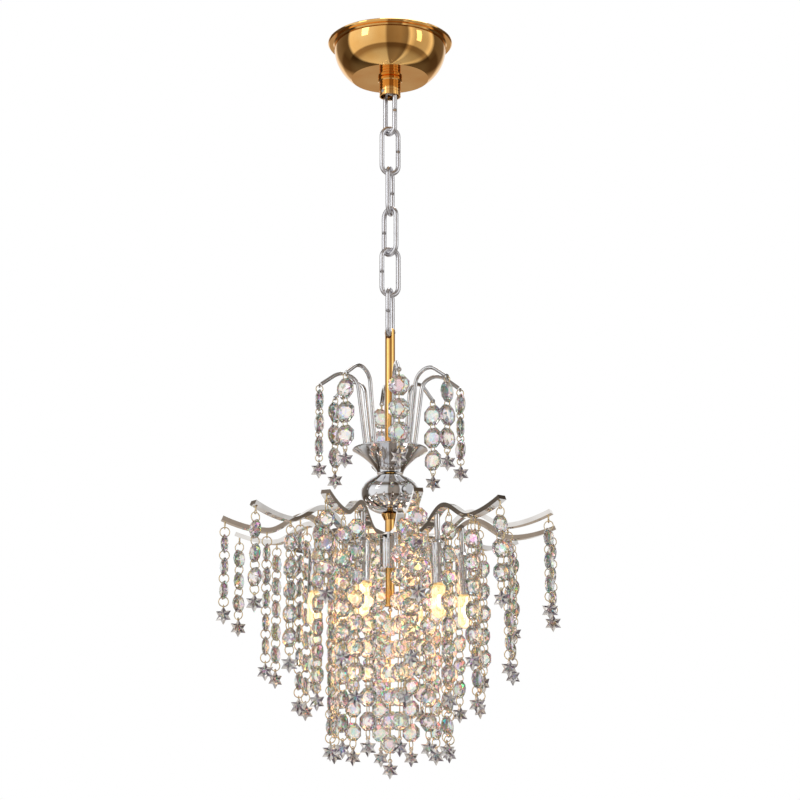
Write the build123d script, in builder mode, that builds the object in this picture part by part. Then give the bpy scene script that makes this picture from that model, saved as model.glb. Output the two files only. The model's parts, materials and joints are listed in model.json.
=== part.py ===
"""Small crystal pendant light: canopy, chain, stem, wire plume, wave arms, bead strands and lamps."""
from build123d import *
from math import cos, pi, radians, sin
import os

os.makedirs("parts", exist_ok=True)

# Frame: origin at the centre of the canopy's ceiling face, +Z up, everything hangs at negative Z.
# A bearing is counted from -Y (the front) towards +X.

# ---------------------------------------------------------------- canopy and its fixings
CANOPY_RIM_R = 51.0
CANOPY_BODY_R = 45.8
CANOPY_DISC_R = 31.5
CANOPY_DEPTH = 32.3
CANOPY_WALL = 1.0
RIM_DEPTH = 2.6
RIM_ROUND = 0.9
CANOPY_BOWL = (42.4, -20.0)
CANOPY_INSIDE = (41.6, -19.4)
BRACKET_LENGTH = 84.0
BRACKET_WIDTH = 18.0
BRACKET_THICKNESS = 2.0
CEILING_SLOT_SPACING = 60.0
CEILING_SLOT_LENGTH = 12.0
CEILING_SLOT_WIDTH = 4.5
NIPPLE_R = 5.0
NIPPLE_BORE_R = 3.5
NUT_ACROSS_FLATS = 14.0
NUT_HEIGHT = 4.0
COLLAR_R = 8.7
COLLAR_FLANGE_R = 9.9
COLLAR_CAVITY_R = 7.7
COLLAR_LENGTH = 15.6
COLLAR_SEAT = 6.0
COLLAR_FLANGE_DEPTH = 3.4
GROOVE_COUNT = 4
GROOVE_PITCH = 2.4
LINK_PIN_R = 1.4

# ---------------------------------------------------------------- chain
LINK_COUNT = 6
LINK_WIRE_R = 1.95
LINK_LENGTH = 42.7
LINK_BEND_R = 6.8
TOP_LINK_BEND_R = 5.3
LINK_GAP = 0.55
LINK_TOP = -39.6
LINK_TURN = 60.0
FIRST_LINK_ANGLE = -45.0

# ---------------------------------------------------------------- centre column
STEM_R = 4.0
STEM_PIN_R = 1.0
FORK_EAR = 2.8
CUP_RIM = -344.4
CUP_NECK = -364.0
CUP_R = 29.3
CUP_NECK_R = 10.4
CUP_WALL = 1.0
CUP_BEND = (15.2, -356.4)
BALL_R = 23.2
BALL_TOP = -364.1
BALL_BOTTOM = -396.8
SCREW_BEARING = 35.0
SCREW_R = 4.7
HUB_TOP = -411.8
HUB_BOTTOM = -440.6
HUB_R = 8.1
HUB_PLATE_R = 15.0
HUB_FLANGE_R = 10.9
LOWER_ROD_R = 3.6
LOWER_ROD_END = -468.0
FIT_GAP = 0.05

# ---------------------------------------------------------------- upper wires
WIRE_COUNT = 8
WIRE_START = 7.0
WIRE_R = 1.6
WIRE_TIP_R = 56.2
WIRE_EYE = -294.0
WIRE_FOOT_R = 18.8
WIRE_KNEE = (26.0, -289.0)
WIRE_CREST = (38.8, -281.7)
PLATE_TOP = -346.5
PLATE_THICKNESS = 2.0
PLATE_R = 22.0

# ---------------------------------------------------------------- wave arms
ARM_COUNT = 12
ARM_START = 9.0
ARM_WIDTH = 7.0
ARM_THICKNESS = 3.5
ARM_ROOT_R = 15.0
ARM_FLAT_R = 38.0
ARM_FLAT = -416.4
ARM_PEAK_R = 67.0
ARM_PEAK = -399.8
ARM_TROUGH_R = 96.5
ARM_TROUGH = -412.3
ARM_TIP_R = 131.5
ARM_TIP = -403.6
ARM_STEPS = 20

# ---------------------------------------------------------------- crystals
RING_WIRE_R = 0.4
RING_R = 3.75
UPPER_RING_R = 2.8
BEAD_R = 7.0
BEAD_THICKNESS = 5.6
UPPER_BEAD_R = 8.25
UPPER_BEAD_THICKNESS = 6.6
GIRDLE = 1.0
CROWN_SPREAD = 1.6
HOLE_FROM_EDGE = 1.72
BEAD_HOLE_R = 0.95
STAR_R = 7.0
STAR_THICKNESS = 3.2
STAR_EYE = 6.9
EYE_R = 1.75
EYE_HOLE_R = 0.95
EYE_THICKNESS = 1.0
STRAND_RADII = {"outer": 129.2, "second": 96.5, "third": 70.5, "fourth": 46.0}
STRAND_BEADS = {"outer": 3, "second": 5, "third": 7, "fourth": 8}
STRAND_EYES = {"outer": -410.7, "second": -417.0, "third": -407.0, "fourth": -423.0}
EYELET_SHANK_R = 0.7
UPPER_BEADS = 3
CENTRE_BEADS = 6
CENTRE_EYE = -472.0

# ---------------------------------------------------------------- lamps
LAMP_COUNT = 6
LAMP_START = -21.0
LAMP_SPLAY = 2.0
LAMP_R = 57.4
LAMP_TOP = -425.0
HANGER_R = 2.2
HANGER_LENGTH = 20.6
DISH_R = 6.7
DISH_DEPTH = 5.0
SLEEVE_R = 6.2
SLEEVE_WALL = 0.7
SLEEVE_LENGTH = 29.0
CORE_LENGTH = 24.0
BULB_R = 5.6
BULB_LENGTH = 31.0
BULB_NECK_R = 3.4
BULB_BASE = (4.4, 8.0, 6.0)
PIN_GAP = 5.0
PIN_R = 0.5
PIN_LENGTH = 8.0
PIN_HOLE = 9.0


def bearing(radius, angle, height=0.0):
    """Place at a bearing, with local +X pointing straight out from the centre line."""
    turn = radians(angle)
    return Location((radius * sin(turn), -radius * cos(turn), height), (0, 0, angle - 90))


def save(builder, name):
    """Label a finished piece and write its file."""
    builder.part.label = name
    export_step(builder.part, f"parts/{name}.step")


# ================================================================ canopy
with BuildPart() as canopy_shell:
    with BuildSketch(Plane.XZ):
        with BuildLine():
            Polyline((NIPPLE_R + FIT_GAP, -CANOPY_DEPTH), (CANOPY_DISC_R, -CANOPY_DEPTH))
            ThreePointArc((CANOPY_DISC_R, -CANOPY_DEPTH), CANOPY_BOWL, (CANOPY_BODY_R, -RIM_DEPTH - 1.0))
            Polyline(
                (CANOPY_BODY_R, -RIM_DEPTH - 1.0),
                (CANOPY_BODY_R + 1.0, -RIM_DEPTH),
                (CANOPY_RIM_R - RIM_ROUND, -RIM_DEPTH),
                (CANOPY_RIM_R, -RIM_DEPTH + RIM_ROUND),
                (CANOPY_RIM_R, -RIM_ROUND),
                (CANOPY_RIM_R - RIM_ROUND, 0),
                (CANOPY_BODY_R - CANOPY_WALL, 0),
                (CANOPY_BODY_R - CANOPY_WALL, -RIM_DEPTH - 1.0),
            )
            ThreePointArc(
                (CANOPY_BODY_R - CANOPY_WALL, -RIM_DEPTH - 1.0),
                CANOPY_INSIDE,
                (CANOPY_DISC_R - 0.4, -CANOPY_DEPTH + CANOPY_WALL),
            )
            Polyline(
                (CANOPY_DISC_R - 0.4, -CANOPY_DEPTH + CANOPY_WALL),
                (NIPPLE_R + FIT_GAP, -CANOPY_DEPTH + CANOPY_WALL),
                (NIPPLE_R + FIT_GAP, -CANOPY_DEPTH),
            )
        make_face()
    revolve(axis=Axis.Z)
save(canopy_shell, "canopy_shell")

with BuildPart() as mounting_bracket:
    with BuildSketch(Plane.XY.offset(-BRACKET_THICKNESS)):
        RectangleRounded(BRACKET_LENGTH, BRACKET_WIDTH, 6)
        Circle(NIPPLE_R + FIT_GAP, mode=Mode.SUBTRACT)
        with GridLocations(CEILING_SLOT_SPACING, 0, 2, 1):
            SlotOverall(CEILING_SLOT_LENGTH, CEILING_SLOT_WIDTH, mode=Mode.SUBTRACT)
    extrude(amount=BRACKET_THICKNESS)
save(mounting_bracket, "mounting_bracket")

NIPPLE_BOTTOM = -CANOPY_DEPTH - COLLAR_SEAT
with BuildPart() as nipple:
    with BuildSketch(Plane.XY.offset(NIPPLE_BOTTOM)):
        Circle(NIPPLE_R)
        Circle(NIPPLE_BORE_R, mode=Mode.SUBTRACT)
    extrude(amount=-NIPPLE_BOTTOM)
save(nipple, "nipple")

with BuildPart() as nipple_nut:
    with BuildSketch(Plane.XY.offset(-BRACKET_THICKNESS - NUT_HEIGHT)):
        RegularPolygon(NUT_ACROSS_FLATS / 2, 6, major_radius=False)
        Circle(NIPPLE_R + FIT_GAP, mode=Mode.SUBTRACT)
    extrude(amount=NUT_HEIGHT)
    chamfer(nipple_nut.edges().filter_by(GeomType.LINE).group_by(Axis.Z)[0], 0.6)
save(nipple_nut, "nipple_nut")

COLLAR_TOP = -CANOPY_DEPTH
COLLAR_BOTTOM = COLLAR_TOP - COLLAR_LENGTH
PIN_HEIGHT = LINK_TOP - 2 * LINK_WIRE_R - 0.15 - LINK_PIN_R
with BuildPart() as canopy_collar:
    with BuildSketch(Plane.XY.offset(COLLAR_BOTTOM)):
        Circle(COLLAR_R)
    extrude(amount=COLLAR_LENGTH)
    with BuildSketch(Plane.XY.offset(COLLAR_TOP - COLLAR_FLANGE_DEPTH)):
        Circle(COLLAR_FLANGE_R)
    extrude(amount=COLLAR_FLANGE_DEPTH)
    chamfer(canopy_collar.edges().filter_by(GeomType.CIRCLE).group_by(SortBy.RADIUS)[-1], 0.7)
    with BuildSketch(Plane.XZ):
        for row in range(GROOVE_COUNT):
            with Locations((COLLAR_R, COLLAR_TOP - COLLAR_FLANGE_DEPTH - 1.8 - row * GROOVE_PITCH)):
                Rectangle(0.9, 1.0)
    revolve(axis=Axis.Z, mode=Mode.SUBTRACT)
    with Locations(Location((0, 0, COLLAR_TOP))):
        Cylinder(NIPPLE_R + FIT_GAP, 2 * COLLAR_SEAT, mode=Mode.SUBTRACT)
    with BuildSketch(Plane.XY.offset(COLLAR_BOTTOM)):
        Circle(COLLAR_CAVITY_R)
    extrude(amount=COLLAR_LENGTH - COLLAR_SEAT, mode=Mode.SUBTRACT)
    with Locations(Location((0, 0, PIN_HEIGHT), (0, 0, FIRST_LINK_ANGLE))):
        Cylinder(LINK_PIN_R + 0.02, 3 * COLLAR_R, rotation=(90, 0, 0), mode=Mode.SUBTRACT)
save(canopy_collar, "canopy_collar")

with BuildPart() as link_pin:
    with Locations(Location((0, 0, PIN_HEIGHT), (0, 0, FIRST_LINK_ANGLE))):
        Cylinder(LINK_PIN_R, 2 * COLLAR_R - 0.4, rotation=(90, 0, 0))
save(link_pin, "link_pin")


# ================================================================ chain
LINK_PITCH = LINK_LENGTH - 4 * LINK_WIRE_R - LINK_GAP


def link_solid(bend_r):
    """One oval link of round wire, upright in the XZ plane, with its top at the origin."""
    side = LINK_LENGTH - 2 * bend_r - 2 * LINK_WIRE_R
    with BuildPart() as link:
        with BuildLine(Plane.XZ) as loop:
            start = (bend_r, -LINK_WIRE_R - bend_r)
            left = (-bend_r, -LINK_WIRE_R - bend_r)
            JernArc(start=start, tangent=(0, 1), radius=bend_r, arc_size=180)
            Line(left, (left[0], left[1] - side))
            JernArc(start=(left[0], left[1] - side), tangent=(0, -1), radius=bend_r, arc_size=180)
            Line((start[0], start[1] - side), start)
        with BuildSketch(Plane.XY.offset(start[1] - side / 2)):
            with Locations((bend_r, 0)):
                Circle(LINK_WIRE_R)
        sweep(path=loop.wire())
    return link.part


top_link = link_solid(TOP_LINK_BEND_R)
plain_link = link_solid(LINK_BEND_R)
for number in range(LINK_COUNT):
    place = Location((0, 0, LINK_TOP - number * LINK_PITCH), (0, 0, FIRST_LINK_ANGLE + number * LINK_TURN))
    with BuildPart() as chain_link:
        with Locations(place):
            add(top_link if number == 0 else plain_link)
    save(chain_link, f"chain_link_{number + 1}")

# ================================================================ stem, cup, ball and hub
LAST_LINK_ANGLE = FIRST_LINK_ANGLE + (LINK_COUNT - 1) * LINK_TURN
LAST_LINK_BOTTOM = LINK_TOP - (LINK_COUNT - 1) * LINK_PITCH - LINK_LENGTH
STEM_PIN_HEIGHT = LAST_LINK_BOTTOM + 2 * LINK_WIRE_R + 0.15 + STEM_PIN_R
STEM_TOP = STEM_PIN_HEIGHT + FORK_EAR
STEM_BOTTOM = HUB_BOTTOM + 8.0
SLOT_WIDTH = 2 * LINK_WIRE_R + 0.5
SLOT_BOTTOM = LAST_LINK_BOTTOM - 0.6
with BuildPart() as stem:
    with BuildSketch(Plane.XY.offset(STEM_BOTTOM)):
        Circle(STEM_R)
    extrude(amount=STEM_TOP - STEM_BOTTOM)
    chamfer(stem.edges().group_by(Axis.Z)[-1], 0.5)
    with Locations(Location((0, 0, (STEM_TOP + SLOT_BOTTOM) / 2), (0, 0, LAST_LINK_ANGLE))):
        Box(3 * STEM_R, SLOT_WIDTH, STEM_TOP - SLOT_BOTTOM, mode=Mode.SUBTRACT)
    with Locations(Location((0, 0, STEM_PIN_HEIGHT), (0, 0, LAST_LINK_ANGLE))):
        Cylinder(STEM_PIN_R + 0.02, 3 * STEM_R, rotation=(90, 0, 0), mode=Mode.SUBTRACT)
save(stem, "stem")

with BuildPart() as stem_pin:
    with Locations(Location((0, 0, STEM_PIN_HEIGHT), (0, 0, LAST_LINK_ANGLE))):
        Cylinder(STEM_PIN_R, 2 * STEM_R + 0.4, rotation=(90, 0, 0))
save(stem_pin, "stem_pin")

with BuildPart() as upper_cup:
    with BuildSketch(Plane.XZ):
        with BuildLine():
            Polyline((STEM_R + FIT_GAP, CUP_NECK), (CUP_NECK_R, CUP_NECK))
            Spline(
                (CUP_NECK_R, CUP_NECK),
                CUP_BEND,
                (CUP_R, CUP_RIM - 1.2),
                tangents=((0.25, 1), (1, 0.55)),
            )
            ThreePointArc((CUP_R, CUP_RIM - 1.2), (CUP_R + 0.4, CUP_RIM - 0.2), (CUP_R - 0.8, CUP_RIM))
            Spline(
                (CUP_R - 0.8, CUP_RIM),
                (CUP_BEND[0] - CUP_WALL, CUP_BEND[1] + CUP_WALL),
                (CUP_NECK_R - CUP_WALL, CUP_NECK + 2.0),
                tangents=((-1, -0.55), (-0.25, -1)),
            )
            Polyline(
                (CUP_NECK_R - CUP_WALL, CUP_NECK + 2.0),
                (STEM_R + FIT_GAP, CUP_NECK + 2.0),
                (STEM_R + FIT_GAP, CUP_NECK),
            )
        make_face()
    revolve(axis=Axis.Z)
save(upper_cup, "upper_cup")

BALL_MIDDLE = (BALL_TOP + BALL_BOTTOM) / 2
BALL_HALF = (BALL_TOP - BALL_BOTTOM) / 2
SCREW_REACH = BALL_R - 3.0
with BuildPart() as ball_body:
    with BuildSketch(Plane.XZ):
        with Locations((0, BALL_MIDDLE)):
            Ellipse(BALL_R, BALL_HALF)
            Ellipse(BALL_R - 1.0, BALL_HALF - 1.0, mode=Mode.SUBTRACT)
            with Locations((-BALL_R, 0)):
                Rectangle(2 * BALL_R, 2 * BALL_R, mode=Mode.SUBTRACT)
    revolve(axis=Axis.Z)
    with BuildSketch(Plane.XY.offset(BALL_BOTTOM)):
        Circle(STEM_R + FIT_GAP)
    extrude(amount=BALL_TOP - BALL_BOTTOM, mode=Mode.SUBTRACT)
    with Locations(bearing(SCREW_REACH, SCREW_BEARING, BALL_MIDDLE)):
        Cylinder(1.6, 8, rotation=(0, 90, 0), mode=Mode.SUBTRACT)
save(ball_body, "ball_body")

with BuildPart() as knob:
    with BuildSketch(Plane.YZ.offset(-4.0)):
        Circle(1.5)
    extrude(amount=7.6)
    with BuildSketch(Plane.YZ.offset(3.6)):
        Circle(SCREW_R)
    extrude(amount=2.6)
    chamfer(knob.faces().sort_by(Axis.X)[-1].edges(), 0.9)
with BuildPart() as set_screw:
    with Locations(bearing(SCREW_REACH, SCREW_BEARING, BALL_MIDDLE)):
        add(knob.part)
save(set_screw, "set_screw")

with BuildPart() as stem_cone:
    with BuildSketch(Plane.XY.offset(BALL_BOTTOM - 0.1)):
        Circle(7.0)
    extrude(amount=-4.2, taper=28)
    with Locations(Location((0, 0, BALL_BOTTOM - 2))):
        Cylinder(STEM_R + FIT_GAP, 12, mode=Mode.SUBTRACT)
save(stem_cone, "stem_cone")

HUB_PLATE_BOTTOM = ARM_FLAT - ARM_THICKNESS / 2 - 0.2
with BuildPart() as hub:
    with BuildSketch(Plane.XY.offset(HUB_BOTTOM)):
        Circle(HUB_R)
    extrude(amount=HUB_TOP - HUB_BOTTOM)
    with BuildSketch(Plane.XY.offset(HUB_PLATE_BOTTOM)):
        Circle(HUB_PLATE_R)
    extrude(amount=ARM_THICKNESS + 0.4)
    with BuildSketch(Plane.XY.offset(HUB_BOTTOM)):
        Circle(HUB_FLANGE_R)
    extrude(amount=1.1)
    with BuildSketch(Plane.XY.offset(STEM_BOTTOM)):
        Circle(STEM_R + FIT_GAP)
    extrude(amount=HUB_TOP - STEM_BOTTOM, mode=Mode.SUBTRACT)
    with BuildSketch(Plane.XY.offset(HUB_BOTTOM)):
        Circle(LOWER_ROD_R + FIT_GAP)
    extrude(amount=STEM_BOTTOM - HUB_BOTTOM, mode=Mode.SUBTRACT)
save(hub, "hub")

with BuildPart() as lower_rod:
    with BuildSketch(Plane.XY.offset(LOWER_ROD_END)):
        Circle(LOWER_ROD_R)
    extrude(amount=STEM_BOTTOM - 0.2 - LOWER_ROD_END)
save(lower_rod, "lower_rod")

with BuildPart() as bottom_finial:
    with BuildSketch(Plane.XY.offset(LOWER_ROD_END - 1.2)):
        Circle(LOWER_ROD_R + 0.8)
    extrude(amount=1.2)
    with BuildSketch(Plane.XZ):
        with Locations((0, CENTRE_EYE)):
            Rectangle(1.6, 2 * EYE_R, align=(Align.CENTER, Align.MIN))
            Circle(EYE_R)
            Circle(EYE_HOLE_R, mode=Mode.SUBTRACT)
    extrude(amount=EYE_THICKNESS / 2, both=True)
save(bottom_finial, "bottom_finial")

# ================================================================ upper wires on their plate
with BuildPart() as wire:
    with BuildLine(Plane.XZ) as wire_path:
        FilletPolyline(
            (WIRE_FOOT_R, PLATE_TOP - 0.9),
            WIRE_KNEE,
            WIRE_CREST,
            (WIRE_TIP_R - 1.3, WIRE_EYE + 1.1),
            radius=12,
        )
    with BuildSketch(Plane(origin=wire_path.wire() @ 0, z_dir=wire_path.wire() % 0)):
        Circle(WIRE_R)
    sweep(path=wire_path.wire())
    with BuildSketch(Plane.YZ.offset(WIRE_TIP_R)):
        with Locations((0, WIRE_EYE)):
            Circle(EYE_R + 0.15)
    extrude(amount=0.7, both=True)
    with Locations(Location((WIRE_TIP_R, 0, WIRE_EYE))):
        Cylinder(EYE_HOLE_R, 8, rotation=(0, 90, 0), mode=Mode.SUBTRACT)

with BuildPart() as upper_wires:
    with PolarLocations(0, WIRE_COUNT, start_angle=WIRE_START - 90):
        add(wire.part)
save(upper_wires, "upper_wires")

with BuildPart() as wire_plate:
    with BuildSketch(Plane.XY.offset(PLATE_TOP - PLATE_THICKNESS)):
        Circle(PLATE_R)
        Circle(STEM_R + FIT_GAP, mode=Mode.SUBTRACT)
    extrude(amount=PLATE_THICKNESS)
save(wire_plate, "wire_plate")


# ================================================================ wave arms and eyelets
def wave_height(radius):
    """Height of an arm's middle line at a distance from the centre line."""
    if radius <= ARM_FLAT_R:
        return ARM_FLAT
    if radius <= ARM_PEAK_R:
        share = (radius - ARM_FLAT_R) / (ARM_PEAK_R - ARM_FLAT_R)
        return ARM_FLAT + (ARM_PEAK - ARM_FLAT) * (1 - cos(pi * share)) / 2
    if radius <= ARM_TROUGH_R:
        share = (radius - ARM_PEAK_R) / (ARM_TROUGH_R - ARM_PEAK_R)
        return ARM_PEAK + (ARM_TROUGH - ARM_PEAK) * (1 - cos(pi * share)) / 2
    share = (radius - ARM_TROUGH_R) / (ARM_TIP_R - ARM_TROUGH_R)
    return ARM_TROUGH + (ARM_TIP - ARM_TROUGH) * share**1.8


def wave_edge(radius, side):
    """Point on the top (side 1) or bottom (side -1) edge of an arm, square to its middle line."""
    step = 0.1
    slope = (wave_height(radius + step) - wave_height(radius - step)) / (2 * step)
    reach = side * ARM_THICKNESS / 2 / (1 + slope**2) ** 0.5
    return (radius - slope * reach, wave_height(radius) + reach)


stations = [ARM_FLAT_R + (ARM_TIP_R - ARM_FLAT_R) * step / ARM_STEPS for step in range(ARM_STEPS + 1)]
top_edge = [wave_edge(radius, 1) for radius in stations]
low_edge = [wave_edge(radius, -1) for radius in stations]
root_top = (ARM_ROOT_R, ARM_FLAT + ARM_THICKNESS / 2)
root_low = (ARM_ROOT_R, ARM_FLAT - ARM_THICKNESS / 2)
with BuildPart() as arm:
    with BuildSketch(Plane.XZ):
        with BuildLine():
            Line(root_top, top_edge[0])
            Spline(top_edge)
            Line(top_edge[-1], low_edge[-1])
            Spline(low_edge)
            Line(low_edge[0], root_low)
            Line(root_low, root_top)
        make_face()
    extrude(amount=ARM_WIDTH / 2, both=True)

with BuildPart() as wave_arms:
    with PolarLocations(0, ARM_COUNT, start_angle=ARM_START - 90):
        add(arm.part)
save(wave_arms, "wave_arms")

with BuildPart() as eyelet_row:
    for name, radius in STRAND_RADII.items():
        eye = STRAND_EYES[name]
        with BuildSketch(Plane.YZ.offset(radius)):
            with Locations((0, eye)):
                Circle(EYE_R)
                Circle(EYE_HOLE_R, mode=Mode.SUBTRACT)
        extrude(amount=EYE_THICKNESS / 2, both=True)
        shank = wave_height(radius) - 0.5 - (eye + 1.3)
        with Locations(Location((radius, 0, eye + 1.3 + shank / 2))):
            Cylinder(EYELET_SHANK_R, shank)

with BuildPart() as arm_eyelets:
    with PolarLocations(0, ARM_COUNT, start_angle=ARM_START - 90):
        add(eyelet_row.part)
save(arm_eyelets, "arm_eyelets")


# ================================================================ crystal strands
def bead_solid(radius, thickness):
    """Eight-sided bead, flat across X, with a hole near its top and its bottom."""
    crown = (thickness - GIRDLE) / 2
    with BuildPart() as bead:
        with BuildSketch(Plane.YZ):
            RegularPolygon(radius, 8, major_radius=False, rotation=22.5)
        extrude(amount=thickness / 2, both=True)
        for face in bead.faces().filter_by(Axis.X):
            chamfer(face.edges(), length=CROWN_SPREAD * crown, length2=crown, reference=face)
        with Locations((0, 0, radius - HOLE_FROM_EDGE), (0, 0, HOLE_FROM_EDGE - radius)):
            Cylinder(BEAD_HOLE_R, 2 * thickness, rotation=(0, 90, 0), mode=Mode.SUBTRACT)
    return bead.part


def ring_solid(radius):
    """Jump ring standing in the plane through the centre line."""
    with BuildPart() as ring:
        Torus(radius, RING_WIRE_R, rotation=(90, 0, 0))
    return ring.part


with BuildPart() as star:
    with BuildSketch(Plane.YZ):
        for half in (90, -90):
            RegularPolygon(STAR_R, 3, rotation=half)
    extrude(amount=STAR_THICKNESS / 2, both=True)
    with BuildSketch(Plane.YZ):
        with Locations((0, STAR_EYE)):
            Circle(EYE_R)
    extrude(amount=EYE_THICKNESS / 2, both=True)
    with Locations((0, 0, STAR_EYE)):
        Cylinder(EYE_HOLE_R, 2 * STAR_THICKNESS, rotation=(0, 90, 0), mode=Mode.SUBTRACT)

bead = bead_solid(BEAD_R, BEAD_THICKNESS)
upper_bead = bead_solid(UPPER_BEAD_R, UPPER_BEAD_THICKNESS)
jump_ring = ring_solid(RING_R)
upper_ring = ring_solid(UPPER_RING_R)


def strand_heights(count, bead_radius, ring_radius):
    """Heights below the eye of a strand's rings, beads and star."""
    hole = bead_radius - HOLE_FROM_EDGE
    pitch = 2 * (hole + ring_radius)
    rings = [-ring_radius - pitch * number for number in range(count + 1)]
    beads = [-2 * ring_radius - hole - pitch * number for number in range(count)]
    return rings, beads, rings[-1] - ring_radius - STAR_EYE


def hung_strand(count, bead_piece, bead_radius, ring_piece, ring_radius):
    """A whole strand below the origin: a ring above each bead, then a ring and a star."""
    rings, beads, star_height = strand_heights(count, bead_radius, ring_radius)
    with BuildPart() as strand:
        with Locations(*[(0, 0, height) for height in rings]):
            add(ring_piece)
        with Locations(*[(0, 0, height) for height in beads]):
            add(bead_piece)
        with Locations((0, 0, star_height)):
            add(star.part)
    return strand.part


upper_strand_solid = hung_strand(UPPER_BEADS, upper_bead, UPPER_BEAD_R, upper_ring, UPPER_RING_R)
for number in range(WIRE_COUNT):
    with BuildPart() as upper_strand:
        with Locations(bearing(WIRE_TIP_R, WIRE_START + number * 360 / WIRE_COUNT, WIRE_EYE)):
            add(upper_strand_solid)
    save(upper_strand, f"upper_strand_{number + 1}")

outer_strand_solid = hung_strand(STRAND_BEADS["outer"], bead, BEAD_R, jump_ring, RING_R)
for number in range(ARM_COUNT):
    angle = ARM_START + number * 360 / ARM_COUNT
    with BuildPart() as outer_strand:
        with Locations(bearing(STRAND_RADII["outer"], angle, STRAND_EYES["outer"])):
            add(outer_strand_solid)
    save(outer_strand, f"outer_strand_{number + 1}")

centre_strand_solid = hung_strand(CENTRE_BEADS, bead, BEAD_R, jump_ring, RING_R)
with BuildPart() as centre_strand:
    with Locations(bearing(0, 0, CENTRE_EYE)):
        add(centre_strand_solid)
save(centre_strand, "centre_strand")


def bearings_and_heights(name):
    """Places of every bead, ring and star of one circle of inner strands."""
    rings, beads, star_height = strand_heights(STRAND_BEADS[name], BEAD_R, RING_R)
    radius = STRAND_RADII[name]
    eye = STRAND_EYES[name]
    angles = [ARM_START + number * 360 / ARM_COUNT for number in range(ARM_COUNT)]
    places = {"rings": [], "beads": [], "stars": []}
    for angle in angles:
        places["rings"] += [bearing(radius, angle, eye + height) for height in rings]
        places["beads"] += [bearing(radius, angle, eye + height) for height in beads]
        places["stars"].append(bearing(radius, angle, eye + star_height))
    return places


inner_places = {name: bearings_and_heights(name) for name in ("second", "third", "fourth")}
for name, places in inner_places.items():
    with BuildPart() as inner_beads:
        with Locations(*places["beads"]):
            add(bead)
    save(inner_beads, f"{name}_beads")

with BuildPart() as inner_rings:
    with Locations(*[place for places in inner_places.values() for place in places["rings"]]):
        add(jump_ring)
save(inner_rings, "inner_rings")

with BuildPart() as inner_stars:
    with Locations(*[place for places in inner_places.values() for place in places["stars"]]):
        add(star.part)
save(inner_stars, "inner_stars")

# ================================================================ lamps
# Each lamp is drawn upright below the origin and then leans out by LAMP_SPLAY.
with BuildPart() as lamp_hanger:
    with BuildSketch(Plane.XY):
        Circle(HANGER_R)
    extrude(amount=HANGER_LENGTH)
    with BuildSketch(Plane.XZ):
        with BuildLine():
            Polyline(
                (0, 0),
                (HANGER_R + 0.6, 0),
                (DISH_R, -DISH_DEPTH + 2),
                (DISH_R, -DISH_DEPTH),
                (0, -DISH_DEPTH),
                (0, 0),
            )
        make_face()
    revolve(axis=Axis.Z)

with BuildPart() as sleeve:
    with BuildSketch(Plane.XY.offset(-DISH_DEPTH - SLEEVE_LENGTH)):
        Circle(SLEEVE_R)
        Circle(SLEEVE_R - SLEEVE_WALL, mode=Mode.SUBTRACT)
    extrude(amount=SLEEVE_LENGTH)

CORE_BOTTOM = -DISH_DEPTH - CORE_LENGTH
with BuildPart() as core:
    with BuildSketch(Plane.XY.offset(CORE_BOTTOM)):
        Circle(SLEEVE_R - SLEEVE_WALL - 0.05)
    extrude(amount=CORE_LENGTH)
    with BuildSketch(Plane.XY.offset(CORE_BOTTOM)):
        with GridLocations(0, PIN_GAP, 1, 2):
            Circle(PIN_R + 0.25)
    extrude(amount=PIN_HOLE, mode=Mode.SUBTRACT)

BULB_TOP = CORE_BOTTOM - 0.3
BULB_END = BULB_TOP - BULB_LENGTH
BULB_SHOULDER = BULB_TOP - BULB_BASE[2] + 2.0
BULB_WIDEST = BULB_SHOULDER - 8.7
with BuildPart() as bulb_solid:
    with BuildSketch(Plane.XY.offset(BULB_TOP)):
        RectangleRounded(BULB_BASE[0], BULB_BASE[1], 1.2)
    extrude(amount=-BULB_BASE[2])
    with BuildSketch(Plane.XY.offset(BULB_TOP)):
        with GridLocations(0, PIN_GAP, 1, 2):
            Circle(PIN_R)
    extrude(amount=PIN_LENGTH)
    with BuildSketch(Plane.XZ):
        with BuildLine():
            Polyline((0, BULB_END), (0, BULB_SHOULDER), (BULB_NECK_R, BULB_SHOULDER))
            ThreePointArc(
                (BULB_NECK_R, BULB_SHOULDER),
                (BULB_R - 0.6, BULB_SHOULDER - 2.0),
                (BULB_R, BULB_WIDEST),
            )
            Line((BULB_R, BULB_WIDEST), (BULB_R, BULB_END + BULB_R))
            RadiusArc((BULB_R, BULB_END + BULB_R), (0, BULB_END), BULB_R)
        make_face()
    revolve(axis=Axis.Z)


def lamp_place(number):
    """Place of a lamp, leaning out from the centre line as it goes down."""
    angle = LAMP_START + number * 360 / LAMP_COUNT
    return bearing(LAMP_R, angle, LAMP_TOP) * Location((0, 0, 0), (0, -LAMP_SPLAY, 0))


lamp_places = [lamp_place(number) for number in range(LAMP_COUNT)]
for name, piece in (("lamp_hangers", lamp_hanger), ("socket_sleeves", sleeve), ("socket_cores", core)):
    with BuildPart() as lamp_group:
        with Locations(*lamp_places):
            add(piece.part)
    save(lamp_group, name)

for number in range(LAMP_COUNT):
    with BuildPart() as bulb:
        with Locations(lamp_places[number]):
            add(bulb_solid.part)
    save(bulb, f"bulb_{number + 1}")
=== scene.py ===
import json
import random
from math import cos, pi, radians, sin

import bmesh
import bpy
from mathutils import Matrix, Vector

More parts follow.
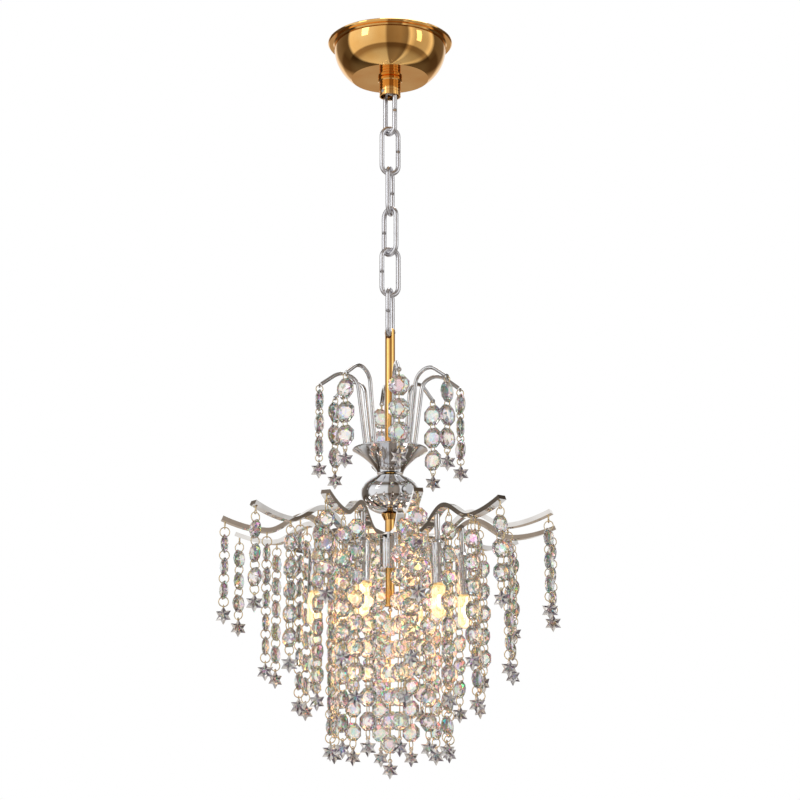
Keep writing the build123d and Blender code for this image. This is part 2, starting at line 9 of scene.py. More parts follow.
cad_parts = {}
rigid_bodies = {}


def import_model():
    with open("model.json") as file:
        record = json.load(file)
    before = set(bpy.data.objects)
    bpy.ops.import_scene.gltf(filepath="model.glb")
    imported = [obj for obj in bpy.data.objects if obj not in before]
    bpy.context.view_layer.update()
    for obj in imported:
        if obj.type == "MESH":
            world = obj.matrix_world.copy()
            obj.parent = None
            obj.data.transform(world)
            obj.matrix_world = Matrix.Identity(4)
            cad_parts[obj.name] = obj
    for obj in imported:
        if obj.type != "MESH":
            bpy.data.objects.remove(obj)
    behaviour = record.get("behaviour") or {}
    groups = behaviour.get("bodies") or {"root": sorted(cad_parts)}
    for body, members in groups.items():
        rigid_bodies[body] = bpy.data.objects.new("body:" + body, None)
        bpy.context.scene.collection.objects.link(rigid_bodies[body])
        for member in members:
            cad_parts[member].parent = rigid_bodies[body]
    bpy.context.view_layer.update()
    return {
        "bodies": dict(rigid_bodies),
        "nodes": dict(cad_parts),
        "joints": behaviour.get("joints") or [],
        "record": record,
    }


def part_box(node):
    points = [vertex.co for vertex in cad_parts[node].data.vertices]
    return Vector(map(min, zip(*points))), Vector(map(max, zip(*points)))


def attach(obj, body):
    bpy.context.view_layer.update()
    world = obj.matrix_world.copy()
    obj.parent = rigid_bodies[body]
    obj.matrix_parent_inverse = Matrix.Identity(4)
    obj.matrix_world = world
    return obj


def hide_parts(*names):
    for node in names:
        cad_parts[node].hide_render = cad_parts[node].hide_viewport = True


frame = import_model()
scene = bpy.context.scene
MM = 0.001
QUARTER_TURN = Matrix.Rotation(pi / 2, 4, "Z")
joints = {joint["name"]: joint for joint in frame["joints"]}

# ================================================================ sizes in mm, bearings in degrees
RING_R, UPPER_RING_R, RING_WIRE_R = 3.75, 2.8, 0.4
BEAD_R, BEAD_THICKNESS = 7.0, 5.6
UPPER_BEAD_R, UPPER_BEAD_THICKNESS = 8.25, 6.6
HOLE_FROM_EDGE, HOLE_R, HOLE_SIDES = 1.72, 0.85, 14
GIRDLE_HALF, CROWN_DEPTH, CROWN_REACH, TABLE_REACH = 0.35, 0.62, 0.79, 0.44
STAR_R, STAR_THICKNESS, STAR_EYE, STAR_EDGE = 7.0, 3.2, 6.9, 0.45
RIDGE_REACH, RIDGE_VALLEY, RIDGE_DEPTH, FAN_OFFSET = 0.60, 0.80, 0.85, 0.97
STONE_FOOT, STONE_TOP = (2.5, 2.1, 0.86), (1.4, 1.2, 1.06)  # reach, valley and share of the depth
EYE_R, EYE_WIRE_R, EYE_SPACE = 1.35, 0.38, 1.3
EYE_TO_BEAD_TOP = 5.78
ARM_COUNT, ARM_START, ARM_HALF, ARM_EYE_R = 12, 9.0, 0.5, 129.2
WIRE_COUNT, WIRE_START = 8, 7.0
LAMP_COUNT, LAMP_START = 6, -21.0
ARM_STEP, WIRE_STEP, LAMP_STEP = 360 / ARM_COUNT, 360 / WIRE_COUNT, 360 / LAMP_COUNT
STRAND_BEADS, CENTRE_BEADS = 3, 6
INNER = {"second": (96.5, 5), "third": (70.5, 7), "fourth": (46.0, 8)}  # radius and beads in a strand
RING_TURN, BEAD_TURN = 9, 11  # most that a piece turns about its own upright
STAR_TURN = 22  # standard deviation of a star's turn away from the front


# ================================================================ node materials
def new_material(name):
    """A material with its Principled shader and the node tree's tools."""
    material = bpy.data.materials.new(name)
    material.use_nodes = True
    tree = material.node_tree
    return material, tree.nodes, tree.links, tree.nodes["Principled BSDF"]


def noise(nodes, links, scale, detail=3.0, rough=0.5):
    """Noise on the object's own coordinates, in features per metre."""
    place = nodes.new("ShaderNodeTexCoord")
    texture = nodes.new("ShaderNodeTexNoise")
    texture.inputs["Scale"].default_value = scale
    texture.inputs["Detail"].default_value = detail
    texture.inputs["Roughness"].default_value = rough
    links.new(place.outputs["Object"], texture.inputs["Vector"])
    return texture.outputs["Fac"]


def spread(nodes, links, value, low, high, start=0.3, end=0.7):
    """A value from 0 to 1 mapped between two numbers."""
    reach = nodes.new("ShaderNodeMapRange")
    reach.inputs["From Min"].default_value = start
    reach.inputs["From Max"].default_value = end
    reach.inputs["To Min"].default_value = low
    reach.inputs["To Max"].default_value = high
    links.new(value, reach.inputs["Value"])
    return reach.outputs["Result"]


def ramp(nodes, links, value, stops):
    """A colour ramp through (place, colour) stops."""
    bar = nodes.new("ShaderNodeValToRGB")
    elements = bar.color_ramp.elements
    while len(elements) < len(stops):
        elements.new(0.5)
    for element, (place, colour) in zip(elements, stops):
        element.position = place
        element.color = (*colour, 1.0)
    links.new(value, bar.inputs["Fac"])
    return bar.outputs["Color"]


def bump(nodes, links, shader, value, strength, distance):
    """Fine relief from a value."""
    relief = nodes.new("ShaderNodeBump")
    relief.inputs["Strength"].default_value = strength
    relief.inputs["Distance"].default_value = distance
    links.new(value, relief.inputs["Height"])
    links.new(relief.outputs["Normal"], shader.inputs["Normal"])


def metal(name, dark, light, rough_low, rough_high, grain, relief):
    """Polished or plated metal with faint mottling, handling smears and relief."""
    material, nodes, links, shader = new_material(name)
    shader.inputs["Metallic"].default_value = 1.0
    coarse = noise(nodes, links, grain)
    fine = noise(nodes, links, grain * 14, 4.0, 0.6)
    colour = ramp(nodes, links, coarse, [(0.3, dark), (0.7, light)])
    links.new(colour, shader.inputs["Base Color"])
    links.new(spread(nodes, links, fine, rough_low, rough_high), shader.inputs["Roughness"])
    bump(nodes, links, shader, coarse, relief, 0.0004)
    return material


def cut_glass(name, tints, film_low, film_high, grain, ior, film_ior):
    """Clear cut crystal under a thin iridescent coating, which differs from facet to facet."""
    material, nodes, links, shader = new_material(name)
    shader.inputs["Transmission Weight"].default_value = 1.0
    shader.inputs["IOR"].default_value = ior
    shader.inputs["Thin Film IOR"].default_value = film_ior
    facet = nodes.new("ShaderNodeAttribute")
    facet.attribute_name = "facet"
    drift = noise(nodes, links, grain, 2.0)
    smear = noise(nodes, links, grain * 9, 3.0)
    both = nodes.new("ShaderNodeMath")
    both.operation = "MULTIPLY_ADD"
    both.inputs[1].default_value = 0.5
    links.new(drift, both.inputs[0])
    links.new(facet.outputs["Fac"], both.inputs[2])
    mixed = spread(nodes, links, both.outputs[0], 0.0, 1.0, 0.2, 1.3)
    links.new(ramp(nodes, links, mixed, tints), shader.inputs["Base Color"])
    film = spread(nodes, links, mixed, film_low, film_high, 0.0, 1.0)
    links.new(film, shader.inputs["Thin Film Thickness"])
    links.new(spread(nodes, links, smear, 0.0, 0.03), shader.inputs["Roughness"])
    return material


gold = metal("polished_gold", (0.90, 0.47, 0.13), (1.0, 0.62, 0.23), 0.03, 0.08, 40, 0.05)
ring_gold = metal("ring_gold", (0.86, 0.66, 0.36), (0.98, 0.84, 0.58), 0.10, 0.22, 300, 0.1)
chrome = metal("chrome", (0.74, 0.74, 0.76), (0.90, 0.90, 0.91), 0.02, 0.08, 60, 0.05)
link_chrome = metal("link_chrome", (0.78, 0.78, 0.82), (0.90, 0.90, 0.93), 0.26, 0.36, 90, 0.03)
warm_chrome = metal("arm_chrome", (0.80, 0.76, 0.72), (0.94, 0.91, 0.88), 0.02, 0.06, 90, 0.06)
steel = metal("bracket_steel", (0.42, 0.42, 0.44), (0.62, 0.62, 0.64), 0.28, 0.45, 120, 0.2)
CLEAR_TINTS = [
    (0.03, (0.50, 0.86, 0.84)), (0.10, (1.00, 0.95, 0.90)), (0.27, (1.00, 0.94, 0.86)),
    (0.34, (1.00, 0.86, 0.52)), (0.41, (1.00, 0.94, 0.88)), (0.58, (1.00, 0.94, 0.90)),
    (0.63, (0.58, 0.62, 0.96)), (0.69, (1.00, 0.94, 0.89)), (0.84, (1.00, 0.84, 0.78)),
    (0.96, (0.66, 0.80, 0.96)),
]
STAR_TINTS = [
    (0.1, (0.84, 0.84, 0.94)), (0.4, (0.98, 0.97, 0.96)), (0.6, (0.94, 0.88, 0.96)),
    (0.9, (0.82, 0.93, 0.91)),
]
# Foil tones from dark to white. With the alternating facet values they paint shade and highlight onto
# the star's facets.
FOIL_TONES_AND_PAINTED_LIGHT = [
    (0.05, (0.16, 0.14, 0.15)), (0.22, (0.36, 0.32, 0.38)), (0.40, (0.62, 0.60, 0.60)),
    (0.60, (0.95, 0.93, 0.90)), (0.75, (0.86, 0.80, 0.74)), (0.95, (0.98, 0.97, 0.95)),
]
crystal = cut_glass("crystal", CLEAR_TINTS, 160, 640, 130, 1.52, 2.2)
star_core = cut_glass("star_crystal", STAR_TINTS, 220, 620, 160, 1.5, 2.0)

# The star's foil: painted light and shade for each facet from the ramp, on a surface that is only
# partly metallic.
foil, nodes, links, shader = new_material("star_foil")
facet = nodes.new("ShaderNodeAttribute")
facet.attribute_name = "facet"
shader.inputs["Metallic"].default_value = 0.35
links.new(ramp(nodes, links, facet.outputs["Fac"], FOIL_TONES_AND_PAINTED_LIGHT), shader.inputs["Base Color"])
links.new(spread(nodes, links, noise(nodes, links, 900), 0.04, 0.16), shader.inputs["Roughness"])

porcelain, nodes, links, shader = new_material("porcelain")
speck = noise(nodes, links, 700, 5.0, 0.7)
colour = ramp(nodes, links, speck, [(0.35, (0.80, 0.77, 0.70)), (0.65, (0.92, 0.90, 0.86))])
links.new(colour, shader.inputs["Base Color"])
links.new(spread(nodes, links, speck, 0.45, 0.65), shader.inputs["Roughness"])
bump(nodes, links, shader, speck, 0.2, 0.0003)

lamp_glass, nodes, links, shader = new_material("lamp_glass")
shader.inputs["Transmission Weight"].default_value = 1.0
shader.inputs["IOR"].default_value = 1.46
shader.inputs["Roughness"].default_value = 0.02
frost = noise(nodes, links, 260, 2.0)
colour = ramp(nodes, links, frost, [(0.3, (1.0, 0.56, 0.17)), (0.7, (1.0, 0.70, 0.28))])
links.new(colour, shader.inputs["Emission Color"])
links.new(spread(nodes, links, frost, 0.16, 0.30), shader.inputs["Emission Strength"])
colour = ramp(nodes, links, frost, [(0.3, (0.97, 0.95, 0.9)), (0.7, (1.0, 0.99, 0.96))])
links.new(colour, shader.inputs["Base Color"])

filament, nodes, links, shader = new_material("filament")
glow = noise(nodes, links, 1500, 2.0)
colour = ramp(nodes, links, glow, [(0.3, (1.0, 0.72, 0.38)), (0.7, (1.0, 0.84, 0.56))])
links.new(colour, shader.inputs["Emission Color"])
links.new(spread(nodes, links, glow, 3.0, 5.0), shader.inputs["Emission Strength"])


# ================================================================ mesh tools
def turn_to(angle):
    """Turn that takes +X to the outward direction at a bearing from -Y towards +X."""
    return Matrix.Rotation(radians(angle - 90), 4, "Z")


def at_bearing(radius, angle, height):
    """Point at a bearing, in metres, from mm."""
    return Vector((radius * sin(radians(angle)), -radius * cos(radians(angle)), height)) * MM


def add_copy(target, prototype, matrix):
    """Adds a transformed copy of a (points, faces, smooth) prototype to a bmesh."""
    points, faces, smooth = prototype
    verts = [target.verts.new(matrix @ point) for point in points]
    for face, soft in zip(faces, smooth):
        made = target.faces.new([verts[index] for index in face])
        made.smooth = soft


def prototype_of(mesh):
    """A mesh's points, faces and smoothing as plain lists."""
    points = [vertex.co.copy() for vertex in mesh.vertices]
    faces = [list(polygon.vertices) for polygon in mesh.polygons]
    return points, faces, [polygon.use_smooth for polygon in mesh.polygons]


def skin_rows(target, rows):
    """Smooth quads between closed rows of points of one length."""
    for first, second in zip(rows, rows[1:]):
        count = len(first)
        for k in range(count):
            n = (k + 1) % count
            target.faces.new((first[k], first[n], second[n], second[k])).smooth = True


def finish_piece(name, target, material, body, replaced=()):
    """Turns a bmesh into a piece on a body. Crystal and foil get a random value for each facet; on the
    foil, alternate facets are also pushed dark and light as painted shade and painted highlight.
    """
    mesh = bpy.data.meshes.new(name)
    bmesh.ops.recalc_face_normals(target, faces=target.faces)
    target.to_mesh(mesh)
    target.free()
    mesh.materials.append(material)
    if material in (crystal, star_core, foil):
        shades = random.Random(len(mesh.polygons))
        facets = mesh.attributes.new("facet", "FLOAT", "FACE")
        values = [shades.random() for _ in mesh.polygons]
        if material is foil:
            # Neighbouring faces of a star are one dark and one light: painted shade and painted
            # highlight on the facets of its ridged points.
            values = [0.5 * value + 0.5 * (index % 2) for index, value in enumerate(values)]
        facets.data.foreach_set("value", values)
    piece = bpy.data.objects.new(name, mesh)
    scene.collection.objects.link(piece)
    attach(piece, body)
    if replaced:
        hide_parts(*replaced)
    return piece


def loop_points(radius, x, turn):
    """Eight points round a bead's axis at one depth. With no turn, one flat is on top."""
    far = radius / cos(pi / 8)
    angles = [turn + pi / 8 + k * pi / 4 for k in range(8)]
    return [Vector((x, far * sin(angle), far * cos(angle))) for angle in angles]


def cut_bead(radius, thickness):
    """A faceted eight-sided bead: girdle, two rows of crown facets and a table on each face."""
    body = bmesh.new()
    half = thickness / 2
    levels = [
        (GIRDLE_HALF, radius, 0.0),
        (CROWN_DEPTH * half, radius * CROWN_REACH, pi / 8),
        (half, radius * TABLE_REACH, 0.0),
    ]
    sides = {}
    for side in (1, -1):
        rows = []
        for x, reach, turn in levels:
            rows.append([body.verts.new(p * MM) for p in loop_points(reach, side * x, turn)])
        for k in range(8):
            n = (k + 1) % 8
            body.faces.new((rows[0][k], rows[0][n], rows[1][k]))
            body.faces.new((rows[0][n], rows[1][n], rows[1][k]))
            body.faces.new((rows[1][k], rows[1][n], rows[2][n]))
            body.faces.new((rows[1][k], rows[2][n], rows[2][k]))
        body.faces.new(rows[2])
        sides[side] = rows[0]
    for k in range(8):
        n = (k + 1) % 8
        body.faces.new((sides[1][k], sides[1][n], sides[-1][n], sides[-1][k]))
    bmesh.ops.recalc_face_normals(body, faces=body.faces)
    bead = mesh_object("bead_blank", body)
    for height in (radius - HOLE_FROM_EDGE, HOLE_FROM_EDGE - radius):
        drill = bmesh.new()
        turned = Matrix.Translation((0, 0, height * MM)) @ Matrix.Rotation(pi / 2, 4, "Y")
        bmesh.ops.create_cone(
            drill, cap_ends=True, segments=HOLE_SIDES, radius1=HOLE_R * MM, radius2=HOLE_R * MM,
            depth=2 * thickness * MM, matrix=turned,
        )
        cut_away(bead, mesh_object("drill", drill))
    return taken_mesh(bead)


def mesh_object(name, body):
    """A scratch object from a bmesh."""
    mesh = bpy.data.meshes.new(name)
    body.to_mesh(mesh)
    body.free()
    scratch = bpy.data.objects.new(name, mesh)
    scene.collection.objects.link(scratch)
    return scratch


def cut_away(target, tool):
    """Cuts one scratch object out of another and removes the tool."""
    modifier = target.modifiers.new("cut", "BOOLEAN")
    modifier.object = tool
    modifier.operation = "DIFFERENCE"
    modifier.solver = "EXACT"
    graph = bpy.context.evaluated_depsgraph_get()
    made = bpy.data.meshes.new_from_object(target.evaluated_get(graph))
    target.modifiers.clear()
    target.data = made
    bpy.data.objects.remove(tool)


def taken_mesh(scratch):
    """The prototype held by a scratch object, which is removed."""
    made = prototype_of(scratch.data)
    bpy.data.objects.remove(scratch)
    return made


def jump_ring(radius, wire, start=0.05, turns=36, sides=8):
    """A ring of round wire in the XZ plane. It is cut once unless start, half the cut's angle, is 0."""
    body = bmesh.new()
    rows = []
    for step in range(turns + 1):
        angle = start + (2 * pi - 2 * start) * step / turns
        across = Vector((sin(angle), 0, cos(angle)))
        row = []
        for k in range(sides):
            turn = k * 2 * pi / sides
            point = across * (radius + wire * cos(turn)) + Vector((0, wire * sin(turn), 0))
            row.append(body.verts.new(point * MM))
        rows.append(row)
    skin_rows(body, rows)
    body.faces.new(rows[0])
    body.faces.new(rows[-1][::-1])
    bmesh.ops.recalc_face_normals(body, faces=body.faces)
    return taken_mesh(mesh_object("ring_blank", body))


def star_corners(reach, valley, x):
    """Twelve points of a six-pointed star outline at one depth."""
    points = []
    for k in range(12):
        far = reach if k % 2 == 0 else valley
        points.append(Vector((x, far * sin(k * pi / 6), far * cos(k * pi / 6))))
    return points


def star_frame():
    """The star's body: on each side a bevelled six-pointed edge and a dished fan of facets.

    The fan's middle point lies on the star's middle plane, above or below its centre.
    """
    body = bmesh.new()
    half = STAR_THICKNESS / 2
    inner = STAR_R / 3**0.5
    sides = {}
    for side in (1, -1):
        outline = star_corners(STAR_R, inner, side * STAR_EDGE)
        raised = star_corners(STAR_R * RIDGE_REACH, inner * RIDGE_VALLEY, side * half * RIDGE_DEPTH)
        edge = [body.verts.new(p * MM) for p in outline]
        ridge = [body.verts.new(p * MM) for p in raised]
        for k in range(12):
            n = (k + 1) % 12
            body.faces.new((edge[k], edge[n], ridge[n], ridge[k]))
        middle = body.verts.new(Vector((0, 0, side * half * FAN_OFFSET)) * MM)
        for k in range(12):
            body.faces.new((ridge[k], ridge[(k + 1) % 12], middle))
        sides[side] = edge
    for k in range(12):
        n = (k + 1) % 12
        body.faces.new((sides[1][k], sides[1][n], sides[-1][n], sides[-1][k]))
    bmesh.ops.recalc_face_normals(body, faces=body.faces)
    return taken_mesh(mesh_object("star_blank", body))


def star_gem():
    """The domed crystal in front of each face of the star."""
    body = bmesh.new()
    half = STAR_THICKNESS / 2
    for side in (1, -1):
        low, high = [
            [body.verts.new(p * MM) for p in star_corners(reach, valley, side * half * depth)]
            for reach, valley, depth in (STONE_FOOT, STONE_TOP)
        ]
        for k in range(12):
            n = (k + 1) % 12
            body.faces.new((low[k], low[n], high[n], high[k]))
        body.faces.new(high)
        body.faces.new(low)
    bmesh.ops.recalc_face_normals(body, faces=body.faces)
    return taken_mesh(mesh_object("gem_blank", body))


bead = cut_bead(BEAD_R, BEAD_THICKNESS)
upper_bead = cut_bead(UPPER_BEAD_R, UPPER_BEAD_THICKNESS)
ring = jump_ring(RING_R, RING_WIRE_R)
upper_ring = jump_ring(UPPER_RING_R, RING_WIRE_R)
star_body = star_frame()
star_stone = star_gem()
star_eye = jump_ring(EYE_R, EYE_WIRE_R, 0.0, 20, 8)


# ================================================================ crystal strands
def strand_layout(count, bead_radius, ring_radius):
    """Heights below the eye of the rings, the beads and the star, in mm."""
    hole = bead_radius - HOLE_FROM_EDGE
    pitch = 2 * (hole + ring_radius)
    rings = [-ring_radius - pitch * number for number in range(count + 1)]
    beads = [-2 * ring_radius - hole - pitch * number for number in range(count)]
    return rings, beads, rings[-1] - ring_radius - STAR_EYE


def add_strand(groups, eye, angle, layout, shapes, chance):
    """Adds one strand's beads, rings and star, each turned a little about its own upright."""
    rings, beads, star_height = layout
    bead_shape, ring_shape = shapes
    straight = Matrix.Translation(eye) @ turn_to(angle)
    for kind, heights, shape, most in (
        ("rings", rings, ring_shape, RING_TURN), ("beads", beads, bead_shape, BEAD_TURN),
    ):
        for height in heights:
            turned = Matrix.Rotation(radians(chance.uniform(-most, most)), 4, "Z")
            lowered = Matrix.Translation((0, 0, height * MM))
            add_copy(groups[kind], shape, straight @ lowered @ turned)
    hung = Matrix.Translation(eye + Vector((0, 0, star_height * MM)))
    place = hung @ Matrix.Rotation(radians(-90 + chance.gauss(0, STAR_TURN)), 4, "Z")
    add_copy(groups["stars"], star_body, place)
    add_copy(groups["gems"], star_stone, place)
    raised = Matrix.Translation((0, 0, STAR_EYE * MM))
    add_copy(groups["eyes"], star_eye, hung @ turn_to(angle) @ raised @ QUARTER_TURN)


def hang_strand(node, joint, angle, layout, shapes, chance):
    """Makes a swinging strand's pieces in place of its CAD node, on its own body."""
    groups = {name: bmesh.new() for name in ("beads", "rings", "stars", "gems", "eyes")}
    add_strand(groups, Vector(joints[joint]["pos_m"]), angle, layout, shapes, chance)
    finish_piece(f"{node}.beads", groups["beads"], crystal, node, [node])
    finish_piece(f"{node}.rings", groups["rings"], ring_gold, node)
    finish_piece(f"{node}.star", groups["stars"], foil, node)
    finish_piece(f"{node}.stone", groups["gems"], star_core, node)
    finish_piece(f"{node}.eye", groups["eyes"], ring_gold, node)


SMALL, LARGE = (bead, ring), (upper_bead, upper_ring)
chance = random.Random(7)
upper_layout = strand_layout(STRAND_BEADS, UPPER_BEAD_R, UPPER_RING_R)
for number in range(WIRE_COUNT):
    node = f"upper_strand_{number + 1}"
    angle = WIRE_START + number * WIRE_STEP
    hang_strand(node, f"{node}_swing", angle, upper_layout, LARGE, chance)

outer_layout = strand_layout(STRAND_BEADS, BEAD_R, RING_R)
for number in range(ARM_COUNT):
    node = f"outer_strand_{number + 1}"
    angle = ARM_START + number * ARM_STEP
    hang_strand(node, f"{node}_swing", angle, outer_layout, SMALL, chance)

centre_layout = strand_layout(CENTRE_BEADS, BEAD_R, RING_R)
hang_strand("centre_strand", "centre_strand_swing", 0, centre_layout, SMALL, chance)

rest = {name: bmesh.new() for name in ("rings", "stars", "gems", "eyes")}
for name, (radius, count) in INNER.items():
    groups = {"beads": bmesh.new(), **rest}
    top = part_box(f"{name}_beads")[1].z / MM
    for number in range(ARM_COUNT):
        angle = ARM_START + number * ARM_STEP
        eye = at_bearing(radius, angle, top + EYE_TO_BEAD_TOP)
        add_strand(groups, eye, angle, strand_layout(count, BEAD_R, RING_R), SMALL, chance)
    replaced = [f"{name}_beads"]
    finish_piece(f"{name}.beads", groups["beads"], crystal, "fixture", replaced)
finish_piece("inner.rings", rest["rings"], ring_gold, "fixture", ["inner_rings"])
finish_piece("inner.stars", rest["stars"], foil, "fixture", ["inner_stars"])
finish_piece("inner.stones", rest["gems"], star_core, "fixture")
finish_piece("inner.eyes", rest["eyes"], ring_gold, "fixture")


# ================================================================ chain links
LINK_WIRE, LINK_GAP = 1.95, 0.26
FIRST_BEND, LINK_BEND = 5.3, 6.8
LINK_START, LINK_TURN = -45, 60  # bearing of the first link, and the turn from link to link
END_PUSH, END_SHARE = 0.12, 0.88  # softened wire end: how far it stands out, and its size


def link_path(length, bend, wire, gap, steps=28):
    """Centre line of an oval link in the XZ plane from one side of its butt seam to the other."""
    side = length / 2 - wire - bend
    run = side - gap / 2
    turns = [pi * k / steps for k in range(1, steps + 1)]
    points = [Vector((bend, 0, -gap / 2))]
    points += [Vector((bend, 0, -gap / 2 - run * k / 6)) for k in range(1, 7)]
    points += [Vector((bend * cos(turn), 0, -side - bend * sin(turn))) for turn in turns]
    points += [Vector((-bend, 0, -side + 2 * side * k / 12)) for k in range(1, 13)]
    points += [Vector((-bend * cos(turn), 0, side + bend * sin(turn))) for turn in turns]
    points += [Vector((bend, 0, side - run * k / 6)) for k in range(1, 7)]
    return points


def tube(body, path, wire, place, sides=24):
    """Round wire along a flat path in XZ, with softened ends."""
    rows = []
    last = len(path) - 1
    for index, point in enumerate(path):
        along = (path[min(index + 1, last)] - path[max(index - 1, 0)]).normalized()
        across = Vector((0, 1, 0)).cross(along)
        row = []
        for k in range(sides):
            turn = 2 * pi * k / sides
            edge = point + across * wire * cos(turn) + Vector((0, wire * sin(turn), 0))
            row.append(body.verts.new(place @ (edge * MM)))
        rows.append(row)
    skin_rows(body, rows)
    for row, point, before in ((rows[0], path[0], path[1]), (rows[-1], path[-1], path[-2])):
        away = (point - before).normalized()
        centre = place @ (point * MM)
        pushed = place @ ((point + away * END_PUSH) * MM)
        inset = [body.verts.new(pushed + (vert.co - centre) * END_SHARE) for vert in row]
        for k in range(sides):
            n = (k + 1) % sides
            body.faces.new((row[k], row[n], inset[n], inset[k]))
        body.faces.new(inset)


for number in range(6):
    node = f"chain_link_{number + 1}"
    low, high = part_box(node)
    middle = (low + high) / 2
    length = (high.z - low.z) / MM
    bend = FIRST_BEND if number == 0 else LINK_BEND
    turned = Matrix.Rotation(radians(LINK_START + LINK_TURN * number), 4, "Z")
    body = bmesh.new()
    path = link_path(length, bend, LINK_WIRE, LINK_GAP)
    tube(body, path, LINK_WIRE, Matrix.Translation(middle) @ turned)
    finish_piece(f"{node}.wire", body, link_chrome, f"link_{number + 1}", [node])


# ================================================================ eyelets under the arms
THREAD_STEP, THREAD_TOP, THREAD_ROOT = 0.2, 0.72, 0.58


def eyelet(shank):
    """A screw eye: a closed loop on a threaded shank."""
    body = bmesh.new()
    loop = jump_ring(EYE_R, EYE_WIRE_R, 0.0, 20, 8)
    add_copy(body, loop, QUARTER_TURN)
    rows = []
    steps = max(6, int(shank / THREAD_STEP))
    for step in range(steps + 1):
        height = EYE_SPACE + shank * step / steps
        radius = THREAD_TOP if step % 2 else THREAD_ROOT
        points = [
            Vector((radius * cos(k * pi / 6), radius * sin(k * pi / 6), height)) for k in range(12)
        ]
        rows.append([body.verts.new(point * MM) for point in points])
    skin_rows(body, rows)
    body.faces.new(rows[0])
    body.faces.new(rows[-1])
    bmesh.ops.recalc_face_normals(body, faces=body.faces)
    return taken_mesh(mesh_object("eyelet_blank", body))


# Middle of a wave arm, as (radius, height) at the foot, crest, hollow and tip of its wave.
WAVE = ((38.0, -416.4), (67.0, -399.8), (96.5, -412.3), (131.5, -403.6))


def wave_height(radius):
    """Middle of a wave arm at a distance from the centre line, in mm."""
    foot, crest, hollow, tip = WAVE
    if radius <= hollow[0]:
        start, end = (foot, crest) if radius <= crest[0] else (crest, hollow)
        share = (radius - start[0]) / (end[0] - start[0])
        return start[1] + (end[1] - start[1]) * (1 - cos(pi * share)) / 2
    share = (radius - hollow[0]) / (tip[0] - hollow[0])
    return hollow[1] + (tip[1] - hollow[1]) * share**1.8


body = bmesh.new()
rows = [(ARM_EYE_R, joints["outer_strand_1_swing"]["pos_m"][2] / MM)]
for name, (radius, _) in INNER.items():
    rows.append((radius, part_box(f"{name}_beads")[1].z / MM + EYE_TO_BEAD_TOP))
for radius, eye in rows:
    shape = eyelet(wave_height(radius) - ARM_HALF - (eye + EYE_SPACE))
    for number in range(ARM_COUNT):
        angle = ARM_START + number * ARM_STEP
        add_copy(body, shape, Matrix.Translation(at_bearing(radius, angle, eye)) @ turn_to(angle))
finish_piece("arm.eyelets", body, ring_gold, "fixture", ["arm_eyelets"])


# ================================================================ lamps
def revolved(body, profile, place, sides=28):
    """A surface turned about local Z from (radius, height) points in mm."""
    rows = []
    for radius, height in profile:
        if radius < 1e-6:
            rows.append([body.verts.new(place @ (Vector((0, 0, height)) * MM))])
            continue
        turns = [2 * pi * k / sides for k in range(sides)]
        points = [Vector((radius * cos(turn), radius * sin(turn), height)) for turn in turns]
        rows.append([body.verts.new(place @ (point * MM)) for point in points])
    for first, second in zip(rows, rows[1:]):
        for k in range(sides):
            n = (k + 1) % sides
            corners = [first[k % len(first)], first[n % len(first)]]
            corners += [second[n % len(second)], second[k % len(second)]]
            unique = list(dict.fromkeys(corners))
            if len(unique) > 2:
                body.faces.new(unique).smooth = True


BULB_R, BULB_LENGTH, GLASS_WALL = 5.6, 39.0, 0.7
BASE_DEPTH = -8.0  # the pinched base, below the top of the lamp
COIL_R, COIL_WIRE, COIL_STEPS, COIL_TURN, COIL_RISE, COIL_SIDES = 1.1, 0.22, 72, 0.9, 0.125, 6
COIL_FROM_END = 9.0
PIN_R, PIN_SPACE = 0.5, 2.5
BASE_SIZE = (3.6, 7.6, 6.0)


def glass_profile():
    """Outline of the hollow lamp glass: up the outside, over the rim and down the inside."""
    end = -BULB_LENGTH
    shell = []
    for wall in (0.0, GLASS_WALL):
        reach = BULB_R - wall
        side = [(3.4 - wall, BASE_DEPTH - 4.0), (4.6 - wall, BASE_DEPTH - 5.6)]
        side += [(5.3 - wall, BASE_DEPTH - 8.0), (reach, BASE_DEPTH - 12.0)]
        side += [(reach, BASE_DEPTH - 14.0 - k) for k in range(0, 10, 3)]
        for turn in range(0, 90, 15):
            angle = radians(turn)
            side.append((reach * cos(angle), end + BULB_R - reach * sin(angle)))
        side.append((0.0, end + wall))
        shell.append(side)
    outside, inside = shell
    rim = [(outside[0][0], BASE_DEPTH - 3.0), (inside[0][0], BASE_DEPTH - 3.0)]
    return outside[::-1] + rim + inside


def add_coil(body, place):
    """The filament: a tube along a helix on the lamp's axis."""
    rows = []
    for step in range(COIL_STEPS):
        angle = step * COIL_TURN
        height = COIL_FROM_END - BULB_LENGTH + step * COIL_RISE
        point = Vector((COIL_R * cos(angle), COIL_R * sin(angle), height))
        out = Vector((cos(angle), sin(angle), 0))
        row = []
        for k in range(COIL_SIDES):
            turn = 2 * pi * k / COIL_SIDES
            edge = point + out * COIL_WIRE * cos(turn) + Vector((0, 0, COIL_WIRE * sin(turn)))
            row.append(body.verts.new(place @ (edge * MM)))
        rows.append(row)
    for first, second in zip(rows, rows[1:]):
        for k in range(COIL_SIDES):
            n = (k + 1) % COIL_SIDES
            body.faces.new((first[k], first[n], second[n], second[k]))
    body.faces.new(rows[0])
    body.faces.new(rows[-1])


